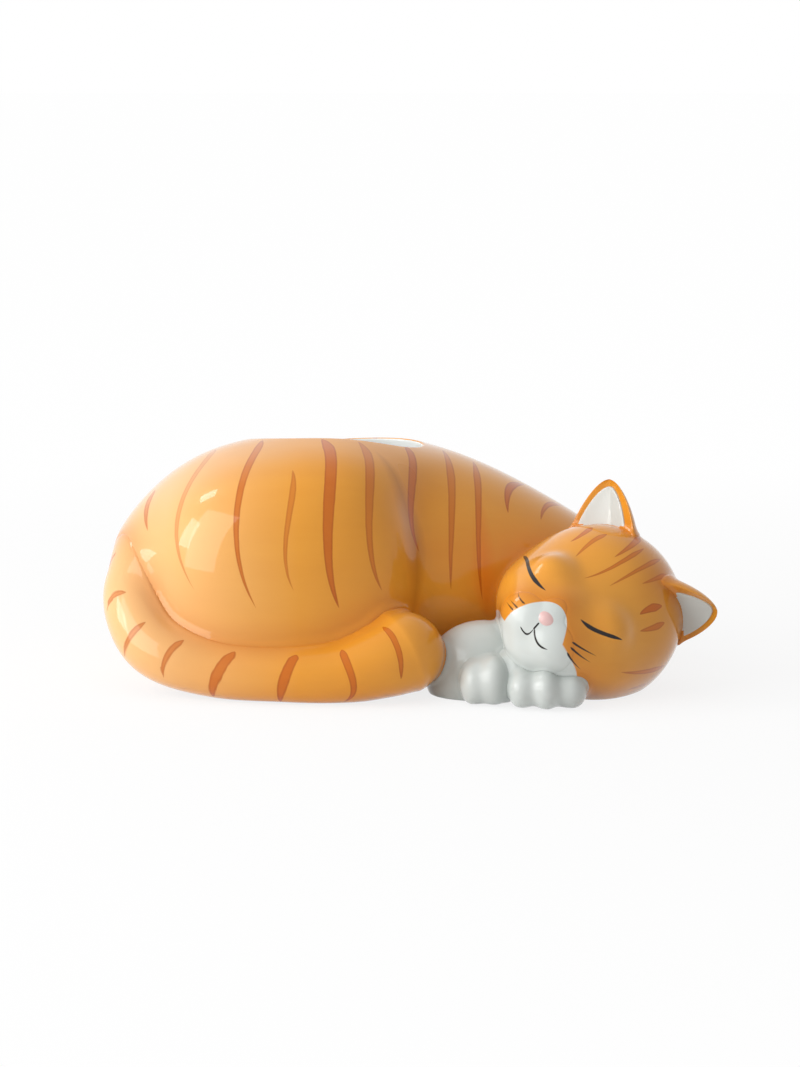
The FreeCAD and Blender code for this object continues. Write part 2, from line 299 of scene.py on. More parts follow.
def make_piece(name, p, uv, finish, nodes, pool=None, ring=False, inside=None):
    """A closed mesh from a grid p of points in millimetres. uv has one column more than p."""
    rows, columns = p.shape[:2]
    index = np.arange(rows * columns).reshape(rows, columns)
    if not ring:
        index[0], index[-1] = index[0, 0], index[-1, 0]
    index = np.concatenate([index, index[:, :1]], 1)
    if ring:
        index, uv = np.concatenate([index, index[:1]]), np.concatenate([uv, uv[:1]])
    p = np.clip(p, np.array(cad_low) / MM + [SKIN, SKIN, 0], np.array(cad_high) / MM - SKIN)
    corner = np.stack([index[:-1, :-1], index[:-1, 1:], index[1:, 1:], index[1:, :-1]], -1).reshape(-1, 4)
    spot = np.stack([uv[:-1, :-1], uv[:-1, 1:], uv[1:, 1:], uv[1:, :-1]], -2).reshape(-1, 4, 2)
    points = p.reshape(-1, 3)
    a, b, c, d = (points[corner[:, k]] for k in range(4))
    volume = (np.einsum("ij,ij->i", a, np.cross(b, c)) + np.einsum("ij,ij->i", a, np.cross(c, d))).sum() / 6
    if volume < 0:
        corner, spot = corner[:, ::-1], spot[:, ::-1]
    first, last = corner[:, 0] == corner[:, 1], corner[:, 2] == corner[:, 3]
    keep = np.ones(corner.shape, bool)
    keep[first, 1] = False
    keep[last, 3] = False
    used = np.unique(corner)
    renumber = np.zeros(len(points), int)
    renumber[used] = np.arange(len(used))
    sizes = keep.sum(1)
    mesh = bpy.data.meshes.new(name)
    mesh.vertices.add(len(used))
    mesh.vertices.foreach_set("co", (points[used] * MM).astype(np.float32).ravel())
    mesh.loops.add(int(keep.sum()))
    mesh.loops.foreach_set("vertex_index", renumber[corner[keep]].astype(np.int32))
    mesh.polygons.add(len(corner))
    starts = np.concatenate([[0], np.cumsum(sizes)[:-1]]).astype(np.int32)
    mesh.polygons.foreach_set("loop_start", starts)
    mesh.update(calc_edges=True)
    mesh.validate()
    mesh.polygons.foreach_set("use_smooth", np.ones(len(mesh.polygons), bool))
    layer = mesh.uv_layers.new(name="paint")
    layer.data.foreach_set("uv", spot[keep].astype(np.float32).ravel())
    for title, values in (("pool", pool), ("inside", inside)):
        values = np.zeros(p.shape[:2]) if values is None else values
        attribute = mesh.attributes.new(title, "FLOAT", "POINT")
        attribute.data.foreach_set("value", values.reshape(-1)[used].astype(np.float32))
    piece = bpy.data.objects.new(name, mesh)
    bpy.context.scene.collection.objects.link(piece)
    mesh.materials.append(finish)
    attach(piece, "root")
    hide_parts(*nodes)
    print(name, len(mesh.polygons), "faces,", round(abs(volume) / 1000, 1), "cubic centimetres")


# %% [markdown]
# ## Luted joins
# Where two wet clay pieces are stuck together the potter wipes slip into the join, and the glaze rounds it
# further. Each piece's skin is therefore lifted, along its normals, on to the melded surface of itself and
# its neighbour. Both pieces reach the same soft valley from their own side. A boolean with a bevel would
# leave a hard line and a torn grid.


# %% Lift a skin into its valleys
# Each skin takes its neighbour to be this much further off than it is, in millimetres. Two lifted skins then
# cross in the middle of their join and don't lie in one another.
LEAN = 0.03
# The depth of pooled glaze falls off over this many millimetres from a join.
POOL_REACH = 5.0


def flare(p, n, others):
    """Neighbour by neighbour, each point p moves on by e along n, with e found by halving so that e
    melded with the neighbour's distance is nought. Where both are equal e is a quarter of the width, and
    no point rises further than that: past the join a skin dives under its neighbour. A width may be a
    number of millimetres, or a function that gives it at each point. Returns the points, and how near
    each is to a neighbour, from 0 to 1."""
    flat, normal = p.reshape(-1, 3), n.reshape(-1, 3)
    lift, nearest = np.zeros(len(flat)), np.full(len(flat), np.inf)
    for field, width in others:
        width = width(flat) if callable(width) else np.full(len(flat), width)
        distance = field(flat + normal * lift[:, None])
        nearest = np.minimum(nearest, distance)
        near = distance < width + 1
        some, way, start, span = flat[near], normal[near], lift[near], width[near]

        def under(e):
            return meld(e - start, field(some + way * e[:, None]) + LEAN, span) < 0

        lift[near], _ = halve(under, start, start + span / 4, 10)
    pool = np.exp(-np.maximum(nearest, 0) / POOL_REACH)
    return (flat + normal * lift[:, None]).reshape(p.shape), pool.reshape(p.shape[:2])


# How wide the joins are, in millimetres: at the neck, across the face, wherever slip was wiped in, where
# pieces just touch, on the head's and the ear's side of an ear, and round the nose.
NECK_JOIN, FACE_JOIN, SLIP_JOIN, TOUCH_JOIN = 4.0, 14.0, 3.0, 2.0
BROW_JOIN, EAR_JOIN, NOSE_EDGE, NOSE_WIDTH = 2.5, 3.5, 1.0, 10.7
TAIL_JOIN, ROOT_JOIN = 6.0, 20.0
# The tail's join grows to its root's over this height, and over this way to the left.
ROOT_LOW, ROOT_CLIMB = 38.0, 22.0
ROOT_SIDE, ROOT_REACH = -80.0, 12.0


def root_width(p):
    """The tail's join, in millimetres, widens towards its root, high on the left of the rump."""
    upward = np.clip((p[:, 2] - ROOT_LOW) / ROOT_CLIMB, 0, 1)
    leftward = np.clip((ROOT_SIDE - p[:, 0]) / ROOT_REACH, 0, 1)
    climb = upward * leftward
    return TAIL_JOIN + (ROOT_JOIN - TAIL_JOIN) * climb * climb * (3 - 2 * climb)


def pull_back(p, anchor, depth):
    """Points of a buried root that lie deeper than depth in the body come back on a straight line towards
    an anchor in the wall, as far as that depth, found by halving. So no root shows inside the pot."""
    flat = p.reshape(-1, 3).copy()
    deep = body_field(flat) < -depth
    some = flat[deep]
    way = anchor - some
    none, all_of_it = np.zeros(deep.sum()), np.ones(deep.sum())
    _, share = halve(lambda t: body_field(some + way * t[:, None]) < -depth, none, all_of_it, 12)
    flat[deep] = some + way * share[:, None]
    return flat.reshape(p.shape)


print("a skin is lifted by a quarter of a join's width where the two pieces meet")

# %% [markdown]
# ## The tail's line
# The tail is a rolled coil of clay. Its middle follows a smooth curve through nine places, each with its own
# radius, and its skin is a circle carried along that curve. A bevelled Blender curve would look alike, but
# the joins above need to know how far any point is from it.

# %% The tail as a route with a radius
TAIL_ROUTE = [
    ((-78, 12.5, 44), 17.0),
    ((-100.8, -3.5, 46.5), 16.0),
    ((-111.2, -23.5, 37.5), 14.3),
    ((-103, -43, 19.8), 13.2),
    ((-79, -53.5, 12), 11.5),
    ((-51, -59.3, 10.4), 11.0),
    ((-27, -61, 11.5), 12.2),
    ((-10.5, -59.4, 15.7), 14.8),
    ((-1.5, -56, 19), 17.2),
]
route_points = np.array([p for p, _ in TAIL_ROUTE], float)
route_radii = np.array([r for _, r in TAIL_ROUTE], float)
SPANS = len(TAIL_ROUTE) - 1


def along_route(t):
    """Points and radii at t spans along the route: a cubic through each point, whose slope there is half
    the step between its neighbours, and radii that change evenly."""
    i = np.clip(np.floor(t).astype(int), 0, SPANS - 1)
    s = (t - i)[:, None]
    a, b, c, d = (route_points[np.clip(i + n, 0, SPANS)] for n in (-1, 0, 1, 2))
    bend = (3 * b - a - 3 * c + d) * s**3 + (2 * a - 5 * b + 4 * c - d) * s**2
    radius = route_radii[i] + (route_radii[i + 1] - route_radii[i]) * s[:, 0]
    return (2 * b + (c - a) * s + bend) / 2, radius


fine_points, fine_radii = along_route(np.linspace(0, SPANS, 200))
tail_length = float(np.linalg.norm(np.diff(fine_points, axis=0), axis=1).sum())


def tail_field(p):
    """The least distance to a run of spheres set close together along the route."""
    flat = p.reshape(-1, 3)
    squared = (flat**2).sum(-1)[:, None] + (fine_points**2).sum(-1)[None] - 2 * flat @ fine_points.T
    return (np.sqrt(np.maximum(squared, 0)) - fine_radii).min(-1).reshape(p.shape[:-1])


def tail_net(per_span=4, cap_steps=4, around=24):
    """Rings of poles square to the route, with a dome of smaller rings at each end."""
    points, radii = along_route(np.arange(SPANS * per_span + 1) / per_span)
    last = len(points) - 1
    angle = 2 * np.pi * np.arange(around)[:, None] / around
    rows = []
    for k in range(last + 1):
        way = points[min(k + 1, last)] - points[max(k - 1, 0)]
        way = way / np.linalg.norm(way)
        side = np.cross(way, [0, 0, 1.0])
        side = side / np.linalg.norm(side)
        rise = np.cross(side, way)
        leans = np.pi / 2 * np.arange(cap_steps + 1) / cap_steps if k in (0, last) else np.zeros(1)
        for lean in leans[::-1] if k == 0 else leans:
            centre = points[k] + way * radii[k] * np.sin(lean) * (-1 if k == 0 else 1)
            wide = radii[k] * max(np.cos(lean), 0.0) * (abs(lean - np.pi / 2) > 1e-9)
            rows.append(centre + wide * (np.cos(angle) * side + np.sin(angle) * rise))
    return np.array(rows)


print("the tail is", round(tail_length), "mm long and", 2 * route_radii.min(), "mm thick at its thinnest")
# %% [markdown]
# ## Ears
# An ear is a stack of rings. The front half of each ring has a rim at both sides and a hollow between them,
# and the back half is full. The white lining is a thin pillow of glaze that lies in the hollow.

# %% Ear rings
EAR_HALF_WIDTH, EAR_FULLNESS, EAR_HOLLOW, EAR_RIM = 15.6, 11.5, 5.0, 2.0
EAR_ROOT, EAR_BLUNT, EAR_BACK_BLUNT, EAR_STEPS, EAR_AROUND = 0.5, 0.55, 0.4, 14, 28
EARS = {
    "right": ((-20.5, -10, 28.5), (-32.3, -10, 45), -26.0),
    "left": ((26.5, -10, 25), (37.6, -9, 36.4), 54.0),
}
LINING_SHARE, LINING_SHIFT, LINING_HEIGHT = 0.76, 1.2, 0.87


def taper(lean, blunt):
    """An ear's width from 1 at its root line to 0 at its tip: part a cosine, part a straight-sided one."""
    return blunt * np.cos(lean) + (1 - blunt) * (1 - np.sin(lean))


def ear_net(root, tip, turn):
    """Rings from below the root to the tip: x is a cosine, and y is the rim less the hollow in front,
    or the fullness times a sine behind."""
    root, tip, turn = np.array(root, float), np.array(tip, float), np.radians(turn)
    height = np.linalg.norm(tip - root)
    up = (tip - root) / height
    across = np.cross(up, [np.sin(turn), np.cos(turn), 0])
    across = across / np.linalg.norm(across)
    facing = np.cross(across, up)
    angle = 2 * np.pi * np.arange(EAR_AROUND) / EAR_AROUND
    x, s = np.cos(angle), np.sin(angle)
    rows = []
    for j in range(EAR_STEPS + 1):
        lean = (np.pi / 2 + EAR_ROOT) * j / EAR_STEPS - EAR_ROOT
        t = np.sin(lean)
        front = (EAR_RIM * np.abs(s) - EAR_HOLLOW * s * s) * np.sqrt(max(1 - t * t, 0))
        y = np.where(s > 0, front, EAR_FULLNESS * taper(lean, EAR_BACK_BLUNT) * s)
        ring = root + up * height * t + np.outer(EAR_HALF_WIDTH * taper(lean, EAR_BLUNT) * x, across)
        ring = ring + np.outer(y, facing)
        if j == 0:
            rows.append(np.tile(ring.mean(0), (EAR_AROUND, 1)))
        rows.append(ring if j < EAR_STEPS else np.tile(ring[:1], (EAR_AROUND, 1)))
    return from_head(np.array(rows))


def cloud_field(points, normals):
    """The distance to the nearest of many surface points: along its normal, or straight where that is
    more and the place is outside."""
    cloud, ways = points.reshape(-1, 3), normals.reshape(-1, 3)

    def field(p):
        flat = p.reshape(-1, 3)
        near = np.concatenate(
            [
                ((block**2).sum(-1)[:, None] - 2 * block @ cloud.T + (cloud**2).sum(-1)).argmin(-1)
                for block in np.array_split(flat, max(len(flat) // 4000, 1))
            ]
        )
        away = flat - cloud[near]
        flatly = (away * ways[near]).sum(-1)
        far = np.linalg.norm(away, axis=-1)
        return np.where(flatly < 0, flatly, np.maximum(flatly, far - 1.0)).reshape(p.shape[:-1])

    return field


def egg_grid(net, rows, columns):
    """Points of a whole skin, from one end point to the other."""
    v = np.linspace(0, 1, rows)[:, None] * np.ones((1, columns))
    u = (np.arange(columns) / columns)[None] * np.ones((rows, 1))
    return on_skin(net, u, v)


ear_nets, ear_fields = {}, {}
for side, (root, tip, turn) in EARS.items():
    net = ear_net(root, tip, turn)
    points = egg_grid(net, 72, 96)
    normals = grid_normals(points)
    ear_nets[side] = net
    ear_fields[side] = cloud_field(points[::2, ::2], normals[::2, ::2])
    print("the", side, "ear stands", round(float(np.ptp(points[..., 2])), 1), "mm high")
# %% [markdown]
# ## The painter's chart
# The stripes, eyes and whiskers are painted on the biscuit by hand. To place a brush stroke, each piece has a
# chart in its UV map: on the body it is the length along the cat and the turn up from the front, on the tail
# it is the length and the turn round, and on the head it is the angle from the forehead, unrolled flat.

# %% Charts
BARREL_AXIS = np.array([19.5, 31.0])
BODY_RADIUS, TAIL_RADIUS, HEAD_RADIUS = 55.0, 13.0, 36.0
CHART = 500.0
FOREHEAD_TILT = np.radians(40.0)


def body_chart(p):
    """Millimetres along the cat, and degrees up from the front round the barrel, as an arc in mm."""
    turn = np.arctan2(p[..., 2] - BARREL_AXIS[1], BARREL_AXIS[0] - p[..., 1])
    return np.stack([p[..., 0], turn * BODY_RADIUS], -1) / CHART + 0.5


def head_chart(p):
    """The angle between a point's ray and the forehead's, times the head's radius, laid out flat in the
    direction that the ray leans."""
    ray = to_head(p)
    ray = ray / np.linalg.norm(ray, axis=-1, keepdims=True)
    forehead = np.array([0, np.cos(FOREHEAD_TILT), np.sin(FOREHEAD_TILT)])
    up = np.array([0, -np.sin(FOREHEAD_TILT), np.cos(FOREHEAD_TILT)])
    a, b = ray[..., 0], ray @ up
    arc = np.arccos(np.clip(ray @ forehead, -1, 1)) * HEAD_RADIUS / np.maximum(np.hypot(a, b), 1e-6)
    return np.stack([a * arc, b * arc], -1) / CHART + 0.5


def closed(chart):
    """The chart of a grid with its first column repeated after the last."""
    return np.concatenate([chart, chart[:, :1]], 1)


print("one unit of a UV map is", CHART, "mm of chart, and its middle is the chart's origin")

# %% [markdown]
# ## Glaze
# All the colour lies under one clear coat, so the shader is a coloured body with a glossy coat. The coloured
# glaze was brushed on in long strokes: it has pale clouds and dark streaks, a painted sheen of reflected
# light towards the rump, and is deeper in the joins, where it pools. Those effects are shared by every
# finish, so they are node groups.
# The shader itself stays in each material.

# %% Node helpers
def feed(tree, place, value):
    """A node's input, set to a number, vector or colour, or linked to a socket."""
    if isinstance(value, (int, float, tuple)):
        place.default_value = value
    elif value is not None:
        tree.links.new(value, place)


def math_node(tree, operation, a, b=None, c=None, clamp=False):
    """A Math node on numbers or sockets, and its output."""
    node = tree.nodes.new("ShaderNodeMath")
    node.operation, node.use_clamp = operation, clamp
    for place, value in zip(node.inputs, (a, b, c)):
        feed(tree, place, value)
    return node.outputs[0]


def vector_node(tree, operation, a, b=None, out="Vector"):
    """A Vector Math node on vectors or sockets, and one of its outputs."""
    node = tree.nodes.new("ShaderNodeVectorMath")
    node.operation = operation
    for place, value in zip(node.inputs, (a, b)):
        feed(tree, place, value)
    return node.outputs[out]


def mix_colour(tree, share, a, b):
    """A blend of two colours, each a socket or a linear colour."""
    node = tree.nodes.new("ShaderNodeMix")
    node.data_type = "RGBA"
    for place, value in zip((0, 6, 7), (share, a, b)):
        feed(tree, node.inputs[place], value)
    return node.outputs[2]


def left_to_right(tree, place):
    """The x of a place."""
    split = tree.nodes.new("ShaderNodeSeparateXYZ")
    tree.links.new(place, split.inputs[0])
    return split.outputs["X"]


def attribute_node(tree, title):
    """The value that a mesh carries under a title."""
    node = tree.nodes.new("ShaderNodeAttribute")
    node.attribute_name = title
    return node.outputs["Fac"]


def group_node(tree, group, values):
    """A node group placed in a material, with its inputs fed by name, and its outputs."""
    node = tree.nodes.new("ShaderNodeGroup")
    node.node_tree = group
    for title, value in values.items():
        feed(tree, node.inputs[title], value)
    return node.outputs


def new_group(name, inputs, outputs):
    """A node group with named inputs and outputs, given as names and kinds, and the ends of its tree."""
    group = bpy.data.node_groups.new(name, "ShaderNodeTree")
    for way, sockets in (("INPUT", inputs), ("OUTPUT", outputs)):
        for title, kind in sockets.items():
            group.interface.new_socket(name=title, in_out=way, socket_type="NodeSocket" + kind)
    given = group.nodes.new("NodeGroupInput").outputs
    return group, given, group.nodes.new("NodeGroupOutput").inputs


def noise_node(tree, place, scale, detail=2.0, roughness=0.5):
    """A noise texture's value."""
    node = tree.nodes.new("ShaderNodeTexNoise")
    node.inputs["Scale"].default_value = scale
    node.inputs["Detail"].default_value = detail
    node.inputs["Roughness"].default_value = roughness
    tree.links.new(place, node.inputs["Vector"])
    return node.outputs["Fac"]


def colour(red, green, blue):
    """A colour given as 0 to 255 on a screen, as Blender's linear colour."""
    c = np.array([red, green, blue]) / 255
    c = np.where(c <= 0.04045, c / 12.92, ((c + 0.055) / 1.055) ** 2.4)
    return (float(c[0]), float(c[1]), float(c[2]), 1.0)


print("a screen's mid grey, 128, is", round(colour(128, 128, 128)[0], 3), "in Blender's linear light")


# %% A brush stroke as a node group
STROKE_VALUES = ("Bow", "Wave", "Half width", "Lead", "Trail", "Soft", "Strength")
RIM_SOFTNESS = 2.2


def brush_group():
    """One painted stroke. Along it, t runs from 0 at the start to 1 at the end. Its middle line is straight
    plus 4t(1-t) times bow + wave(1-2t), and its half width is the square root of t over lead, up to 1, times
    the same of 1-t over trail. Paint is 1 inside, and Rim is 1 in the darker line that dries at its edge."""
    vectors = {name: "Vector" for name in ("Chart", "Start", "End")}
    floats = {name: "Float" for name in ("Wobble", *STROKE_VALUES)}
    outputs = {"Paint": "Float", "Rim": "Float"}
    group, given, result = new_group("brush stroke", vectors | floats, outputs)
    line = vector_node(group, "SUBTRACT", given["End"], given["Start"])
    length = vector_node(group, "LENGTH", line, out="Value")
    way = vector_node(group, "NORMALIZE", line)
    ray = vector_node(group, "SUBTRACT", given["Chart"], given["Start"])
    t = math_node(group, "DIVIDE", vector_node(group, "DOT_PRODUCT", ray, way, out="Value"), length)
    t = math_node(group, "MINIMUM", math_node(group, "MAXIMUM", t, 0.0), 1.0)
    left = math_node(group, "SUBTRACT", 1.0, t)
    split = group.nodes.new("ShaderNodeSeparateXYZ")
    group.links.new(vector_node(group, "CROSS_PRODUCT", way, ray), split.inputs[0])
    arc = math_node(group, "MULTIPLY", math_node(group, "MULTIPLY", t, left), 4.0)
    turnover = math_node(group, "MULTIPLY_ADD", t, -2.0, 1.0)
    bend = math_node(group, "MULTIPLY_ADD", given["Wave"], turnover, given["Bow"])
    aside = math_node(group, "SUBTRACT", split.outputs["Z"], math_node(group, "MULTIPLY", arc, bend))
    aside = math_node(group, "ABSOLUTE", math_node(group, "ADD", aside, given["Wobble"]))
    swell = math_node(group, "SQRT", math_node(group, "DIVIDE", t, given["Lead"], clamp=True))
    thin = math_node(group, "SQRT", math_node(group, "DIVIDE", left, given["Trail"], clamp=True))
    wide = math_node(group, "MULTIPLY", math_node(group, "MULTIPLY", swell, thin), given["Half width"])
    within = math_node(group, "SUBTRACT", wide, aside)
    paint = math_node(group, "DIVIDE", within, given["Soft"], clamp=True)
    softer = math_node(group, "MULTIPLY", given["Soft"], RIM_SOFTNESS)
    deep = math_node(group, "DIVIDE", within, softer, clamp=True)
    rim = math_node(group, "MULTIPLY", paint, math_node(group, "SUBTRACT", 1.0, deep))
    group.links.new(math_node(group, "MULTIPLY", paint, given["Strength"]), result["Paint"])
    group.links.new(math_node(group, "MULTIPLY", rim, given["Strength"]), result["Rim"])
    return group


BRUSH = brush_group()
print("the brush stroke group has", len(BRUSH.nodes), "nodes")


# %% The glaze under the painting, as a node group
# The pale of a painted sheen: the haze of light reflected on the left, laid into the glaze's colour towards
# the rump.
SHEEN_PALE = colour(240, 206, 162)


def glaze_group():
    """Colour is Base clouded with Pale by broad noise, streaked with Deep by fine noise drawn out level,
    lightened towards the rump by a painted pale sheen that stands for light reflected on the left, and turned
    to Deep again where glaze pools. Streak is the drawn noise, Gloss the roughness under the coat, and Ripple
    the slight waviness of a fired surface, for bump."""
    inputs = {"Place": "Vector", "Base": "Color", "Pale": "Color", "Deep": "Color", "Fade": "Float"}
    outputs = {"Colour": "Color", "Streak": "Float", "Gloss": "Float", "Ripple": "Float"}
    group, given, result = new_group("fired glaze", inputs | {"Pool": "Float"}, outputs)
    noise = noise_node(group, given["Place"], 16.0, 2.0)
    cloud = math_node(group, "MULTIPLY_ADD", noise, 1.6, -0.45, clamp=True)
    drawn = vector_node(group, "MULTIPLY", given["Place"], (0.14, 0.5, 1.0))
    streak = noise_node(group, drawn, 60.0, 4.0, 0.6)
    streak = math_node(group, "MULTIPLY_ADD", streak, 1.8, -0.55, clamp=True)
    # Painted sheen: paler towards the rump, on the left, where the window's light hazes the glaze.
    thin = math_node(group, "MULTIPLY_ADD", left_to_right(group, given["Place"]), -7.0, -0.3, clamp=True)
    shade = mix_colour(group, math_node(group, "MULTIPLY", cloud, 0.55), given["Base"], given["Pale"])
    shade = mix_colour(group, math_node(group, "MULTIPLY", streak, 0.22), shade, given["Deep"])
    shade = mix_colour(group, math_node(group, "MULTIPLY", thin, given["Fade"]), shade, SHEEN_PALE)
    shade = mix_colour(group, math_node(group, "MULTIPLY", given["Pool"], 0.6), shade, given["Deep"])
    gloss = math_node(group, "MULTIPLY_ADD", noise, 0.12, 0.24)
    ripple = noise_node(group, given["Place"], 45.0, 1.0)
    for name, value in (("Colour", shade), ("Streak", streak), ("Gloss", gloss), ("Ripple", ripple)):
        group.links.new(value, result[name])
    return group


GLAZE = glaze_group()
print("the fired glaze group has", len(GLAZE.nodes), "nodes")


# %% The painter's hand, as a node group
def hand_group():
    """Chart is the place on the painter's chart, in millimetres, and Wobble how far the brush strays."""
    inputs, outputs = {"Place": "Vector", "UV": "Vector"}, {"Chart": "Vector", "Wobble": "Float"}
    group, given, result = new_group("painter's hand", inputs, outputs)
    chart = vector_node(group, "SUBTRACT", given["UV"], (0.5, 0.5, 0.0))
    chart = vector_node(group, "MULTIPLY", chart, (CHART, CHART, 0.0))
    rough = noise_node(group, given["Place"], 180.0, 3.0)
    group.links.new(chart, result["Chart"])
    group.links.new(math_node(group, "MULTIPLY_ADD", rough, 0.3, -0.15), result["Wobble"])
    return group


HAND = hand_group()
print("the painter's hand group has", len(HAND.nodes), "nodes")

# %% The strokes on each piece
# A stroke is its start, end, bow, wave, half width, lead, trail and strength, as the brush stroke group says.
# Body strokes run from the mouth of the pot down: millimetres along the cat and degrees up from the front.
BODY_STROKES = [
    ((-105, 65), (-106, 35), -2, 0, 1.5, 0.15, 0.7, 0.75),
    ((-80, 75), (-85, 10), -8, 8, 1.7, 0.1, 0.8, 0.45),
    ((-60, 70), (-60, 5), -7, 6, 1.9, 0.12, 0.7, 0.9),
    ((-46, 45), (-45, 10), -2, 4, 1.5, 0.2, 0.7, 0.65),
    ((-35, 65), (-27, 5), 0, 6, 2.6, 0.12, 0.5, 1),
    ((-20, 65), (-10, 10), 0, 6, 2.1, 0.15, 0.6, 0.75),
    ((-1, 75), (5, 25), 0, 5, 1.9, 0.1, 0.6, 1),
    ((15, 90), (18, 10), 2, 2, 2.2, 0.3, 0.9, 0.75),
    ((28, 90), (31, 5), 0, 2, 1.8, 0.2, 0.8, 0.8),
    ((50, 95), (42, 55), -3, 0, 2.3, 0.4, 0.8, 1),
    ((67, 100), (56, 60), -2, 0, 1.7, 0.3, 0.8, 0.85),
]
# The back carries the same kind of strokes, a little wider apart.
BACK_STROKES = [
    ((-102, 112), (-100, 158), -4, 0, 1.6, 0.1, 0.7, 0.8),
    ((-80, 108), (-80, 186), -6, 0, 1.9, 0.08, 0.7, 0.9),
    ((-58, 106), (-60, 192), -4, 0, 1.8, 0.08, 0.7, 0.8),
    ((-36, 110), (-38, 196), 2, 0, 2.4, 0.06, 0.6, 1),
    ((-14, 108), (-14, 190), -2, 0, 1.9, 0.1, 0.7, 0.8),
    ((8, 106), (10, 186), 2, 0, 2, 0.1, 0.6, 0.9),
    ((30, 108), (30, 176), 3, 0, 1.8, 0.1, 0.7, 0.8),
    ((50, 112), (52, 164), 3, 0, 1.9, 0.1, 0.7, 0.9),
    ((70, 110), (76, 152), 3, 0, 1.6, 0.2, 0.7, 0.8),
]
# Where the haunch folds against the shoulder a wide soft stroke paints the crease's shade dark, and beside it
# another paints an orange reflected glow.
CREASE_SHADE = [((-13, 60), (2, 0), 8, 0, 5, 0.4, 0.4, 0.8)]
GLOW_REFLECTION = [((30, 60), (33, -5), 0, 0, 6, 0.6, 0.3, 0.6)]
# Tail strokes: spans along its route, and degrees round from the front, down across it.
TAIL_STROKES = [
    ((1.0, 80), (1.0, -50), 1.5, 0, 1.7, 0.2, 0.6, 0.8),
    ((1.7, 60), (1.7, -60), 1.5, 0, 1.6, 0.2, 0.6, 0.8),
    ((2.35, 65), (2.4, 10), -1.5, 0, 1.2, 0.2, 0.7, 0.7),
    ((2.9, 60), (2.95, -30), 0, 0, 1.3, 0.2, 0.8, 0.75),
    ((3.6, 60), (3.5, -30), -1.5, 0, 1.4, 0.15, 0.7, 0.8),
    ((4.4, 60), (4.15, -60), -1.5, 0, 2, 0.12, 0.5, 0.9),
    ((5.3, 60), (5.05, -60), -1, 0, 2.1, 0.08, 0.5, 1),
    ((6.15, 60), (6.0, -60), 4, -2, 2.2, 0.1, 0.8, 1),
    ((7.35, 75), (7.2, -20), 2, 1, 2.4, 0.1, 0.8, 1),
]
# Head strokes, on the unrolled chart of the head, in millimetres: the crown's, then the left cheek's.
HEAD_STROKES = [
    ((-28, 27), (-31, 10), 1, 0, 1.9, 0.15, 0.8, 0.95),
    ((-18, 25), (-21, 1), -1.5, 0, 1.7, 0.15, 0.8, 0.8),
    ((-7, 38), (-5, 15), 1.5, 0, 1.9, 0.15, 0.8, 0.9),
    ((0, 32), (-7, -8), 2.5, 0, 1.5, 0.2, 0.8, 0.85),
    ((8, 37), (6, 0), 1, 0, 1.5, 0.2, 0.8, 0.8),
    ((16, 32), (15, 16), 0.5, 0, 1.5, 0.15, 0.8, 0.75),
    ((29, 20), (28, 5), -0.5, 0, 2.4, 0.35, 0.7, 1),
    ((37, 18), (35, 0), 1, 0, 2, 0.3, 0.8, 0.85),
    ((59, 21), (43, -21), 5, 0, 1.7, 0.3, 0.8, 0.8),
    ((67, 6), (59, -17), 0.5, 0, 1.3, 0.3, 0.8, 0.6),
]
# Thin dark lines on the same chart: two closed eyes, the mouth and the whiskers.
DARK_LINES = [
    ((-50, -8), (-12, -26), -3, 2, 1, 0.1, 0.2, 1),
    ((9, -25), (30, -14), -2, -1, 1, 0.2, 0.25, 1),
    ((-7.5, -41), (-2.5, -38.5), -2.5, 1, 0.52, 0.1, 0.1, 1),
    ((-2.5, -39), (-2.5, -36), 0, 0, 0.52, 0.1, 0.1, 1),
    ((-2.5, -38.5), (8, -40), -2, 0, 0.52, 0.1, 0.2, 1),
    ((13, -32.5), (27, -28.5), -0.5, 0, 0.5, 0.1, 0.9, 1),
    ((14, -34), (27, -32), -0.5, 0, 0.5, 0.1, 0.9, 1),
    ((14.5, -36), (26, -37), -0.5, 0, 0.5, 0.1, 0.9, 1),
    ((-12.5, -34), (-21, -32), 0.5, 0, 0.42, 0.1, 0.9, 0.9),
    ((-13.5, -36.5), (-20.5, -36), 0, 0, 0.42, 0.1, 0.9, 0.9),
    ((-14.5, -38), (-22, -37.5), 0, 0, 0.42, 0.1, 0.9, 0.9),
]
# The white of the face, as wide soft-edged strokes that join: the blaze, and all below the cheeks.
WHITE_PATCHES = [
    ((-1, -27), (-1, -79), 0, 0, 33, 1, 1, 1),
    ((-5, -38), (33, -46), 0, 0, 12.5, 1, 1, 1),
    ((-75, -82), (51, -74), 0, 0, 35, 0.05, 0.08, 1),
]
print(len(BODY_STROKES) + len(BACK_STROKES), "strokes on the body and", len(TAIL_STROKES), "on the tail")


# %% Laying strokes on
STRIPE, STRIPE_EDGE = colour(192, 94, 2), colour(144, 58, 0)
# The first is the brown of painted shade, in the haunch's crease and on the cheek turned from the light; the
# second is the orange of a painted reflected glow beside the crease.
SHADE_UMBER, REFLECTED_ORANGE = colour(146, 78, 12), colour(220, 108, 4)
WHITE, WHITE_DEEP = colour(208, 213, 209), colour(196, 202, 200)
# The second is the white inside the pot, painted brighter than the white glaze as painted light against the
# hollow's shade.
LINE, LIT_INSIDE_WHITE = colour(30, 24, 22), colour(240, 243, 240)
# How many millimetres the edge of a stroke takes to come up to full colour.
PAINTED_LIGHT_SOFT, STRIPE_SOFT, PATCH_SOFT, LINE_SOFT = 8.0, 0.45, 0.5, 0.25


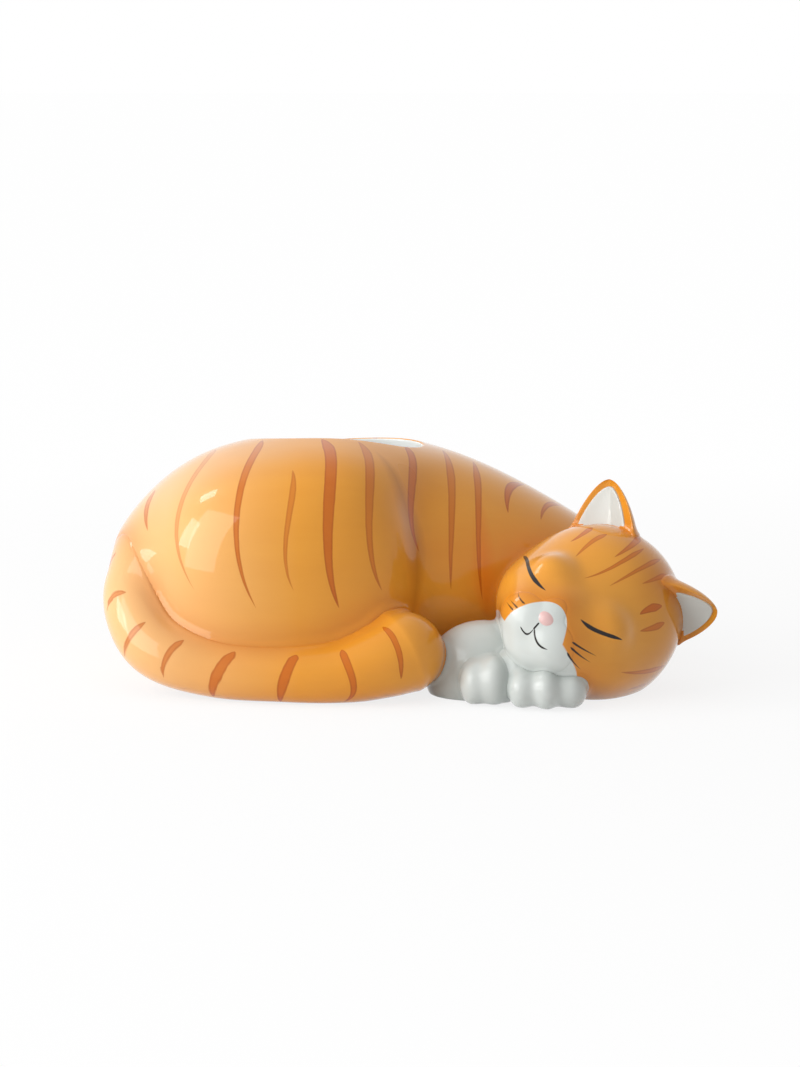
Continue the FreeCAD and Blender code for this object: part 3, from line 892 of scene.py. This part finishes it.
def strokes_mask(tree, hand, strokes, scale, soft):
    """The greatest Paint and the greatest Rim of a list of strokes, each placed as its own group."""
    paint = rim = None
    for start, end, bow, wave, half_width, lead, trail, strength in strokes:
        values = dict(zip(STROKE_VALUES, (bow, wave, half_width, lead, trail, soft, strength)))
        values |= {"Chart": hand["Chart"], "Wobble": hand["Wobble"]}
        values["Start"] = (start[0] * scale[0], start[1] * scale[1], 0)
        values["End"] = (end[0] * scale[0], end[1] * scale[1], 0)
        laid = group_node(tree, BRUSH, values)
        if paint is None:
            paint, rim = laid["Paint"], laid["Rim"]
        else:
            paint = math_node(tree, "MAXIMUM", paint, laid["Paint"])
            rim = math_node(tree, "MAXIMUM", rim, laid["Rim"])
    return paint, rim


def crease_shade_and_glow(tree, shade, hand, scale):
    """Painted shade, dark in the crease of the haunch, and a painted orange reflection glowing beside it,
    under the stripes.
    """
    for strokes, tint in ((CREASE_SHADE, SHADE_UMBER), (GLOW_REFLECTION, REFLECTED_ORANGE)):
        shade = mix_colour(tree, strokes_mask(tree, hand, strokes, scale, PAINTED_LIGHT_SOFT)[0], shade, tint)
    return shade


def shaded_face(tree, shade, place):
    """Painted shade: the side of the face to the right, turned down and away from the light, is browner."""
    turned = math_node(tree, "MULTIPLY_ADD", left_to_right(tree, place), 20.0, -1.75, clamp=True)
    return mix_colour(tree, math_node(tree, "MULTIPLY", turned, 0.6), shade, SHADE_UMBER)


def striped(tree, shade, streak, hand, strokes, scale):
    """Stripes that let the streaks show, with darker rims."""
    paint, rim = strokes_mask(tree, hand, strokes, scale, STRIPE_SOFT)
    cover = math_node(tree, "MULTIPLY_ADD", streak, -0.25, 0.95)
    shade = mix_colour(tree, math_node(tree, "MULTIPLY", paint, cover), shade, STRIPE)
    return mix_colour(tree, math_node(tree, "MULTIPLY", rim, 0.7), shade, STRIPE_EDGE)


def painted_face(tree, shade, pool, hand):
    """The white of the face, and the thin dark lines over it, which stray less than the stripes do."""
    white = mix_colour(tree, math_node(tree, "MULTIPLY", pool, 0.3), WHITE, WHITE_DEEP)
    shade = mix_colour(tree, strokes_mask(tree, hand, WHITE_PATCHES, (1.0, 1.0), PATCH_SOFT)[0], shade, white)
    steady = {"Chart": hand["Chart"], "Wobble": math_node(tree, "MULTIPLY", hand["Wobble"], 0.3)}
    return mix_colour(tree, strokes_mask(tree, steady, DARK_LINES, (1.0, 1.0), LINE_SOFT)[0], shade, LINE)


def lined_pot(tree, shade, hand):
    """The white inside of the pot, painted brighter than the white glaze as painted light in the shaded
    hollow; its edge on the lip strays like a stroke's.
    """
    edge = math_node(tree, "MULTIPLY_ADD", hand["Wobble"], 0.4, attribute_node(tree, "inside"))
    edge = math_node(tree, "MULTIPLY_ADD", edge, 8.0, -3.5, clamp=True)
    return mix_colour(tree, edge, shade, LIT_INSIDE_WHITE)


# %% The glaze material
AMBER_SET = (colour(224, 150, 44), colour(232, 168, 74), colour(196, 104, 16))
WHITE_SET = (colour(203, 207, 203), colour(212, 215, 212), colour(168, 176, 172))
PINK_SET = (colour(230, 198, 194), colour(234, 206, 202), colour(214, 164, 160))
COAT = {"Specular IOR Level": 0.1, "Coat Weight": 1.0, "Coat Roughness": 0.03, "Coat IOR": 1.32}
RIPPLE_STRENGTH, RIPPLE_DEPTH = 0.25, 0.0006


def glaze_material(name, colours, stripes=(), scale=(1.0, 1.0), face=False, pot=False, fade=0.0):
    """Glaze over clay in a base, a pale and a deep colour; fade is the share of a painted pale sheen. The
    colours go on in order: painted shade and reflected glow, stripes, then the white and the fine lines."""
    material = bpy.data.materials.new(name)
    material.use_nodes = True
    tree = material.node_tree
    shader = tree.nodes["Principled BSDF"]
    place = tree.nodes.new("ShaderNodeTexCoord").outputs["Object"]
    pool = attribute_node(tree, "pool")
    values = {"Place": place, "Fade": fade, "Pool": pool} | dict(zip(("Base", "Pale", "Deep"), colours))
    glaze = group_node(tree, GLAZE, values)
    shade = glaze["Colour"]
    if stripes:
        uv = tree.nodes.new("ShaderNodeUVMap")
        uv.uv_map = "paint"
        hand = group_node(tree, HAND, {"Place": place, "UV": uv.outputs["UV"]})
        if pot:
            shade = crease_shade_and_glow(tree, shade, hand, scale)
        if face:
            shade = shaded_face(tree, shade, place)
        shade = striped(tree, shade, glaze["Streak"], hand, stripes, scale)
        if face:
            shade = painted_face(tree, shade, pool, hand)
        if pot:
            shade = lined_pot(tree, shade, hand)
    tree.links.new(shade, shader.inputs["Base Color"])
    tree.links.new(glaze["Gloss"], shader.inputs["Roughness"])
    for title, value in COAT.items():
        shader.inputs[title].default_value = value
    bump = tree.nodes.new("ShaderNodeBump")
    bump.inputs["Strength"].default_value = RIPPLE_STRENGTH
    bump.inputs["Distance"].default_value = RIPPLE_DEPTH
    tree.links.new(glaze["Ripple"], bump.inputs["Height"])
    for title in ("Normal", "Coat Normal"):
        tree.links.new(bump.outputs[0], shader.inputs[title])
    return material


BODY_SCALE = (1.0, np.radians(1.0) * BODY_RADIUS)
TAIL_SCALE = (tail_length / SPANS, np.radians(1.0) * TAIL_RADIUS)
body_glaze = glaze_material(
    "amber glaze on the body", AMBER_SET, BODY_STROKES + BACK_STROKES, BODY_SCALE, pot=True, fade=1.0
)
tail_glaze = glaze_material("amber glaze on the tail", AMBER_SET, TAIL_STROKES, TAIL_SCALE, fade=1.0)
face_glaze = glaze_material("painted face", AMBER_SET, HEAD_STROKES, face=True)
ear_glaze = glaze_material("amber glaze on the ears", AMBER_SET)
white_glaze = glaze_material("white glaze", WHITE_SET)
nose_glaze = glaze_material("pink glaze", PINK_SET)
print(len(bpy.data.materials), "materials")

# %% [markdown]
# ## The pot
# The body is one ring-shaped grid: from the drain out over the foot, up the outside, over the rounded lip,
# down inside to the floor, and back through the drain. That gives one closed wall with a real thickness,
# which a Solidify modifier would also do, but not with a flat floor and an oval mouth of its own.

# %% Outside, lip, hollow and drain
LIP_CENTRE, LIP_HALF = np.array([-31.0, 18.0]), np.array([37.5, 28.0])
DRAIN_CENTRE, DRAIN_RADIUS = np.array([-31.0, 16.0]), 5.0
body_net = radial_net(body_field, BODY_HEART, 48, 25)
hollow_net = radial_net(lambda p: body_field(p) + WALL, BODY_HEART, 48, 25)
FOOT_DIP, FLOOR_DIP, FLOOR_ROUND = 0.6, 2.0, 7.0
LIP_ROUND = 1.6
COLUMNS, OUTER_ROWS, INNER_ROWS = 288, 150, 70
# The row of the lip where the white glaze of the inside starts, and the mark for white in the drain.
WHITE_LIP_ROW, DRAIN_WHITE = 8, 0.6
turn = np.arange(COLUMNS) / COLUMNS


def crossing(net, test, low, high):
    """The place v in each column where a test of the point changes sign, by halving."""
    low, high = np.full(COLUMNS, low), np.full(COLUMNS, high)
    return halve(lambda v: test(on_skin(net, turn, v)) < 0, low, high, 24)[0]


def outside_oval(p):
    """Minus how far outside the mouth's oval a point is, in shares of the oval."""
    return 1 - np.linalg.norm((p[..., :2] - LIP_CENTRE) / LIP_HALF, axis=-1)


foot = crossing(body_net, lambda p: p[..., 2] + FOOT_DIP, 0.02, 0.5)
rim = crossing(body_net, outside_oval, 0.55, 0.999)
hollow_rim = crossing(hollow_net, outside_oval, 0.55, 0.999)
hollow_foot = crossing(hollow_net, lambda p: p[..., 2] - FLOOR + FLOOR_DIP, 0.02, 0.5)


def rows_between(net, start, end, count):
    """count rows of points of a skin from place start to place end in every column."""
    v = start + (end - start) * np.linspace(0, 1, count)[:, None]
    return on_skin(net, turn[None] + 0 * v, v)


outer_rows = settle(rows_between(body_net, foot, rim, OUTER_ROWS))
inner_rows = settle(rows_between(hollow_net, hollow_foot, hollow_rim, INNER_ROWS), FLOOR, FLOOR_ROUND)
edge_out, edge_in = outer_rows[-1], inner_rows[-1]
slope = edge_out - outer_rows[-4]
slope = slope / np.linalg.norm(slope, axis=-1, keepdims=True)
gap = np.linalg.norm(edge_out[None] - outer_rows, axis=-1)
outer_rows = outer_rows[(gap > LIP_ROUND * 1.05).all(1)]
bend = np.linspace(0, 1, 13)[:, None, None]
lip_start, lip_end = edge_out - slope * LIP_ROUND, edge_out - np.array([0, 0, LIP_ROUND])
lip_rows = (1 - bend) ** 2 * lip_start + 2 * bend * (1 - bend) * edge_out + bend**2 * lip_end
wall_rows = lip_end + (edge_in - lip_end) * np.linspace(0, 1, 10)[1:-1, None, None]
ring_way = np.stack([np.cos(2 * np.pi * turn), np.sin(2 * np.pi * turn), 0 * turn], -1)
drain = np.concatenate([DRAIN_CENTRE, [0.0]]) + DRAIN_RADIUS * ring_way
drain_rows = drain + np.array([0, 0, FLOOR]) * np.linspace(1, 0, 6)[:, None, None]
share = np.linspace(0, 1, 22)[1:-1, None, None]
base_rows = drain + (outer_rows[0] - drain) * share
floor_rows = inner_rows[0] + (drain_rows[0] - inner_rows[0]) * share
pot = np.concatenate([base_rows, outer_rows, lip_rows, wall_rows, inner_rows[::-1], floor_rows, drain_rows])
inside = np.zeros(pot.shape[:2])
inside[len(base_rows) + len(outer_rows) + WHITE_LIP_ROW :] = 1.0
inside[-len(drain_rows) :] = DRAIN_WHITE
print("the pot's wall is a ring of", pot.shape[0], "rows and", pot.shape[1], "columns")

# %% The body piece
body_joins = [
    (tail_field, root_width), (head_field, NECK_JOIN), (chest_field, SLIP_JOIN), (muzzle_field, TOUCH_JOIN),
]
grown, body_pool = flare(pot, grid_normals(pot, ring=True), body_joins)
shell_row = np.arange(len(pot))[:, None, None]
on_outside = (shell_row >= len(base_rows)) & (shell_row < len(base_rows) + len(outer_rows))
pot = np.where(on_outside, settle(grown), pot)
body_pool = np.where(on_outside[..., 0], body_pool, 0.0)
make_piece(
    "pot_body", pot, closed(body_chart(pot)), body_glaze, ["body_shell"],
    pool=body_pool, ring=True, inside=inside,
)

# %% [markdown]
# ## Head, muzzle and nose
# These are the solids' own skins, taken finer and luted into each other. The paint runs over the joins, so
# the head and the muzzle share one material and one chart.


# %% Egg-shaped pieces
def luted_piece(name, net, rows, columns, chart, finish, nodes, joins, anchor=None):
    """A whole skin, lifted into its joins and settled on the ground."""
    p = egg_grid(net, rows, columns)
    p, pool = flare(p, grid_normals(p), joins)
    p = settle(p if anchor is None else pull_back(p, anchor, WALL / 2))
    p[0], p[-1] = p[0].mean(0), p[-1].mean(0)
    make_piece(name, p, closed(chart(p)), finish, nodes, pool=pool)


MUZZLE_HEART = (-1.5, 26, -16)
head_net = radial_net(head_field, HEAD_CENTRE, 48, 27)
muzzle_net = radial_net(muzzle_field, from_head(MUZZLE_HEART), 40, 21)
nose_net = radial_net(nose_field, from_head(NOSE[0]), 16, 9)
luted_piece(
    "round_head", head_net, 200, 280, head_chart, face_glaze, ["head_shell"],
    [
        (body_field, NECK_JOIN), (muzzle_field, FACE_JOIN), (chest_field, SLIP_JOIN),
        (paw_left_field, SLIP_JOIN), (ear_fields["right"], BROW_JOIN), (ear_fields["left"], BROW_JOIN),
    ],
)
luted_piece(
    "whisker_muzzle", muzzle_net, 120, 160, head_chart, face_glaze, ["muzzle"],
    [(head_field, FACE_JOIN), (paw_left_field, TOUCH_JOIN), (chest_field, TOUCH_JOIN)],
)
luted_piece(
    "pink_nose", nose_net, 40, 56, head_chart, nose_glaze, ["nose"],
    [(muzzle_field, NOSE_EDGE), (head_field, NOSE_WIDTH)],
)

# %% Tail
# How deep in the body's wall the anchor of the tail's root lies, in millimetres.
ANCHOR_DEPTH = 1.5


def plain_chart(p):
    """Shares round and along the grid, for pieces with nothing painted on them."""
    rows, columns = p.shape[:2]
    across, along = np.meshgrid(np.linspace(0, 1, columns + 1), np.linspace(0, 1, rows))
    return np.stack([across, along], -1)[:, :-1]


def tail_chart(p):
    """Millimetres along the route, from the nearest place on it, and the turn round it as an arc."""
    flat = p.reshape(-1, 3)
    places = np.linspace(0, SPANS, len(fine_points))
    squared = (fine_points**2).sum(-1)[None] - 2 * flat @ fine_points.T
    near = squared.argmin(-1)
    way = np.gradient(fine_points, axis=0)[near]
    way = way / np.linalg.norm(way, axis=-1, keepdims=True)
    side = np.cross(way, [0, 0, 1.0])
    side = side / np.linalg.norm(side, axis=-1, keepdims=True)
    away = flat - fine_points[near]
    along = (away * way).sum(-1) / tail_length * SPANS
    turn = np.arctan2((away * np.cross(side, way)).sum(-1), (away * side).sum(-1))
    place = (places[near] + along) * tail_length / SPANS
    return np.stack([place, turn * TAIL_RADIUS], -1).reshape(*p.shape[:-1], 2) / CHART + 0.5


in_wall = np.flatnonzero(body_field(fine_points) > -ANCHOR_DEPTH)[0]
luted_piece(
    "coiled_tail", tail_net(), 420, 96, tail_chart, tail_glaze, ["tail"],
    [(body_field, root_width), (chest_field, SLIP_JOIN)], anchor=fine_points[in_wall],
)

# %% [markdown]
# ## Chest and forepaws
# White slip-cast lumps with toes pressed into them. The toes are part of each paw's own formula.

# %% Chest and paws
RIGHT_HEART, LEFT_HEART = np.array([33, -59, 8.5]), np.array([55, -64, 8.5])
chest_net = radial_net(chest_field, np.array(CHEST[0], float), 36, 19)
paw_right_net = radial_net(paw_right_field, RIGHT_HEART, 48, 25)
paw_left_net = radial_net(paw_left_field, LEFT_HEART, 48, 25)
luted_piece(
    "white_chest", chest_net, 100, 140, plain_chart, white_glaze, ["chest"],
    [
        (body_field, SLIP_JOIN), (head_field, SLIP_JOIN), (tail_field, SLIP_JOIN),
        (paw_right_field, SLIP_JOIN), (paw_left_field, SLIP_JOIN), (muzzle_field, TOUCH_JOIN),
    ],
)
luted_piece(
    "paw_right", paw_right_net, 110, 150, plain_chart, white_glaze, ["forepaw_right"],
    [(chest_field, SLIP_JOIN), (paw_left_field, TOUCH_JOIN)],
)
luted_piece(
    "paw_left", paw_left_net, 120, 170, plain_chart, white_glaze, ["forepaw_left"],
    [
        (chest_field, SLIP_JOIN), (head_field, SLIP_JOIN), (muzzle_field, TOUCH_JOIN),
        (paw_right_field, TOUCH_JOIN),
    ],
)

# %% [markdown]
# ## Ears and their linings
# Each lining is a pillow a quarter of a millimetre proud of the hollow, laid out on the ear's own skin, so it
# bends with it. Painting white on the ear would do from afar, but a thick white glaze has an edge.


# %% Ears
# The lining stands this many millimetres over the ear's skin in front and under it behind, and all of it is
# then sunk by a little.
LINING_PROUD, LINING_BEHIND, LINING_SUNK = 0.3, 1.0, 0.05
# The greatest share of the ear's width, and the least and greatest place up it, that the lining may reach.
LINING_WIDEST, LINING_LOWEST, LINING_HIGHEST = 0.97, 0.02, 0.98


def lining_grid(net, turn, rows=60, columns=96):
    """The lining's ring at each level: its places on the ear's skin come from the share of the ear's width
    that it covers, and it stands off that skin along its normals, over it in front and under it behind."""
    shift = np.copysign(LINING_SHIFT, -turn)
    lean = np.linspace(-EAR_ROOT, np.pi / 2, rows)[:, None]
    angle = 2 * np.pi * np.arange(columns)[None] / columns
    on_ear = np.arcsin(np.clip(LINING_HEIGHT * np.sin(lean), -1, 1))
    narrow = taper(lean, EAR_BLUNT) / taper(on_ear, EAR_BLUNT)
    x = (LINING_SHARE * np.cos(angle) + shift / EAR_HALF_WIDTH) * narrow
    u = np.arccos(np.clip(x, -LINING_WIDEST, LINING_WIDEST)) / (2 * np.pi)
    v = (on_ear + EAR_ROOT) / (np.pi / 2 + EAR_ROOT) * EAR_STEPS / (EAR_STEPS - 1) + 0 * u
    held = np.clip(v, LINING_LOWEST, LINING_HIGHEST)
    skin = on_skin(net, u, held)
    aside = on_skin(net, u + 1e-3, held) - skin
    above = on_skin(net, u, np.clip(v + 1e-3, LINING_LOWEST + 1e-3, LINING_HIGHEST + 1e-3)) - skin
    n = np.cross(above, aside)
    n = n / np.maximum(np.linalg.norm(n, axis=-1, keepdims=True), 1e-9)
    out = (skin - net.reshape(-1, 3).mean(0)) * n
    n = n * np.sign(out.sum())
    s = np.sin(angle)
    edge = np.clip((np.pi / 2 - lean) * 4, 0, 1) ** 0.5
    proud, behind = LINING_PROUD * np.abs(s) ** 0.5 * edge, -LINING_BEHIND * np.abs(s) ** 0.4
    return skin + n * (np.where(s > 0, proud, behind) - LINING_SUNK)[..., None]


for side, (_, _, ear_turn) in EARS.items():
    net = ear_nets[side]
    luted_piece(
        f"ear_skin_{side}", net, 110, 150, plain_chart, ear_glaze, [f"ear_{side}"],
        [(head_field, EAR_JOIN), (body_field, TOUCH_JOIN)],
    )
    p = lining_grid(net, ear_turn)
    p[0], p[-1] = p[0].mean(0), p[-1].mean(0)
    uv = closed(plain_chart(p))
    make_piece(f"ear_pillow_{side}", p, uv, white_glaze, [f"ear_lining_{side}"])

# %% [markdown]
# ## Table, light and camera
# Small glazed things are shown on a white sweep under big soft lights. The sweep is a plain pale floor that
# is white to the camera but still takes the shadow. One tall window-like light on the left makes the long
# soft reflections that tell the eye that the glaze is glossy.


# %% Floor and world
def white_to_camera(tree, share, surface):
    """A surface mixed with a plain white glow of strength 1, by share for rays that the eye can follow."""
    path = tree.nodes.new("ShaderNodeLightPath").outputs
    seen = math_node(tree, "MAXIMUM", path["Is Camera Ray"], path["Is Glossy Ray"])
    seen = math_node(tree, "MAXIMUM", seen, path["Is Transmission Ray"])
    glow = tree.nodes.new("ShaderNodeEmission")
    glow.inputs["Color"].default_value = (1, 1, 1, 1)
    mixed = tree.nodes.new("ShaderNodeMixShader")
    tree.links.new(math_node(tree, "MULTIPLY", seen, share), mixed.inputs[0])
    tree.links.new(surface, mixed.inputs[1])
    tree.links.new(glow.outputs[0], mixed.inputs[2])
    return mixed.outputs[0]


FLOOR_DROP, FLOOR_REACH = 0.0002, 60.0
PAPER_GREY, PAPER_ROUGH, PAPER_SHINE = 0.9, 0.9, 0.1
# How white the paper looks under the cat, how much whiter each metre makes it, and the most that it gets.
WHITE_NEAR, WHITE_RISE, WHITE_MOST = 0.8, 0.3, 0.99
ROOM_STRENGTH = 0.38
floor_mesh = bpy.data.meshes.new("floor")
corners = np.array([(-1, -1), (1, -1), (1, 1), (-1, 1)]) * FLOOR_REACH
floor_mesh.from_pydata([(x, y, cad_low.z - FLOOR_DROP) for x, y in corners], [], [(0, 1, 2, 3)])
floor = bpy.data.objects.new("floor", floor_mesh)
bpy.context.scene.collection.objects.link(floor)
paper = bpy.data.materials.new("pale paper")
paper.use_nodes = True
tree = paper.node_tree
shader = tree.nodes["Principled BSDF"]
shader.inputs["Base Color"].default_value = (PAPER_GREY, PAPER_GREY, PAPER_GREY, 1)
shader.inputs["Roughness"].default_value = PAPER_ROUGH
shader.inputs["Specular IOR Level"].default_value = PAPER_SHINE
place = tree.nodes.new("ShaderNodeTexCoord").outputs["Object"]
from_cat = vector_node(tree, "LENGTH", place, out="Value")
whiter = math_node(tree, "MULTIPLY_ADD", from_cat, WHITE_RISE, WHITE_NEAR)
mixed = white_to_camera(tree, math_node(tree, "MINIMUM", whiter, WHITE_MOST), shader.outputs[0])
tree.links.new(mixed, tree.nodes["Material Output"].inputs[0])
floor_mesh.materials.append(paper)

world = bpy.data.worlds.new("soft room")
bpy.context.scene.world = world
world.use_nodes = True
tree = world.node_tree
room = tree.nodes["Background"]
room.inputs[0].default_value = (1, 1, 1, 1)
room.inputs[1].default_value = ROOM_STRENGTH
tree.links.new(white_to_camera(tree, 1.0, room.outputs[0]), tree.nodes["World Output"].inputs[0])
print("the floor lies", FLOOR_DROP * 1000, "mm under the cat")


# %% Lamps
# Each lamp's place from the middle of the cat, in metres, with its width and height, and its watts.
LAMPS = {
    "window": ((-1.24, -0.72, 0.6), (1.0, 1.3), 15.0),
    "bright pane": ((-1.2, -0.14, 0.46), (0.36, 0.46), 3.5),
    "high pane": ((-0.95, 0.35, 1.05), (0.25, 0.3), 1.8),
    "ceiling": ((-0.5, -0.3, 1.8), (2.6, 2.6), 13.5),
}


def soft_light(name, place, aim, size, power):
    """A rectangular lamp that faces a point of the object."""
    lamp = bpy.data.lights.new(name, "AREA")
    lamp.shape, lamp.energy = "RECTANGLE", power
    lamp.size, lamp.size_y = size
    made = bpy.data.objects.new(name, lamp)
    made.location = place
    made.rotation_euler = (aim - made.location).to_track_quat("-Z", "Y").to_euler()
    bpy.context.scene.collection.objects.link(made)
    return made


centre = (cad_low + cad_high) / 2
Vector = type(centre)
for name, (place, size, power) in LAMPS.items():
    lamp = soft_light(name, centre + Vector(place), centre, size, power)
    # The ceiling is a soft fill and shows in no reflection.
    lamp.visible_glossy = name != "ceiling"
print(len(LAMPS), "lamps stand round the cat")

# %% Camera
DISTANCE, DOWN = 1.15, np.radians(10.0)
AIM_SHIFT = (0.0009, -0.0056, -0.0051)
SENSOR, LENS, SHIFT_X, SHIFT_Y = 36.0, 92.9, -0.0085, 0.0315
camera = bpy.data.objects.new("camera", bpy.data.cameras.new("camera"))
camera.location = centre + Vector(AIM_SHIFT) + Vector((0.0, -np.cos(DOWN), np.sin(DOWN))) * DISTANCE
camera.rotation_euler = (np.pi / 2 - DOWN, 0.0, 0.0)
camera.data.sensor_width, camera.data.lens = SENSOR, LENS
camera.data.shift_x, camera.data.shift_y = SHIFT_X, SHIFT_Y
bpy.context.scene.collection.objects.link(camera)
bpy.context.scene.camera = camera
bpy.context.scene.view_settings.view_transform = "Standard"
print("the camera stands", DISTANCE, "m away and looks down by", round(float(np.degrees(DOWN))), "degrees")
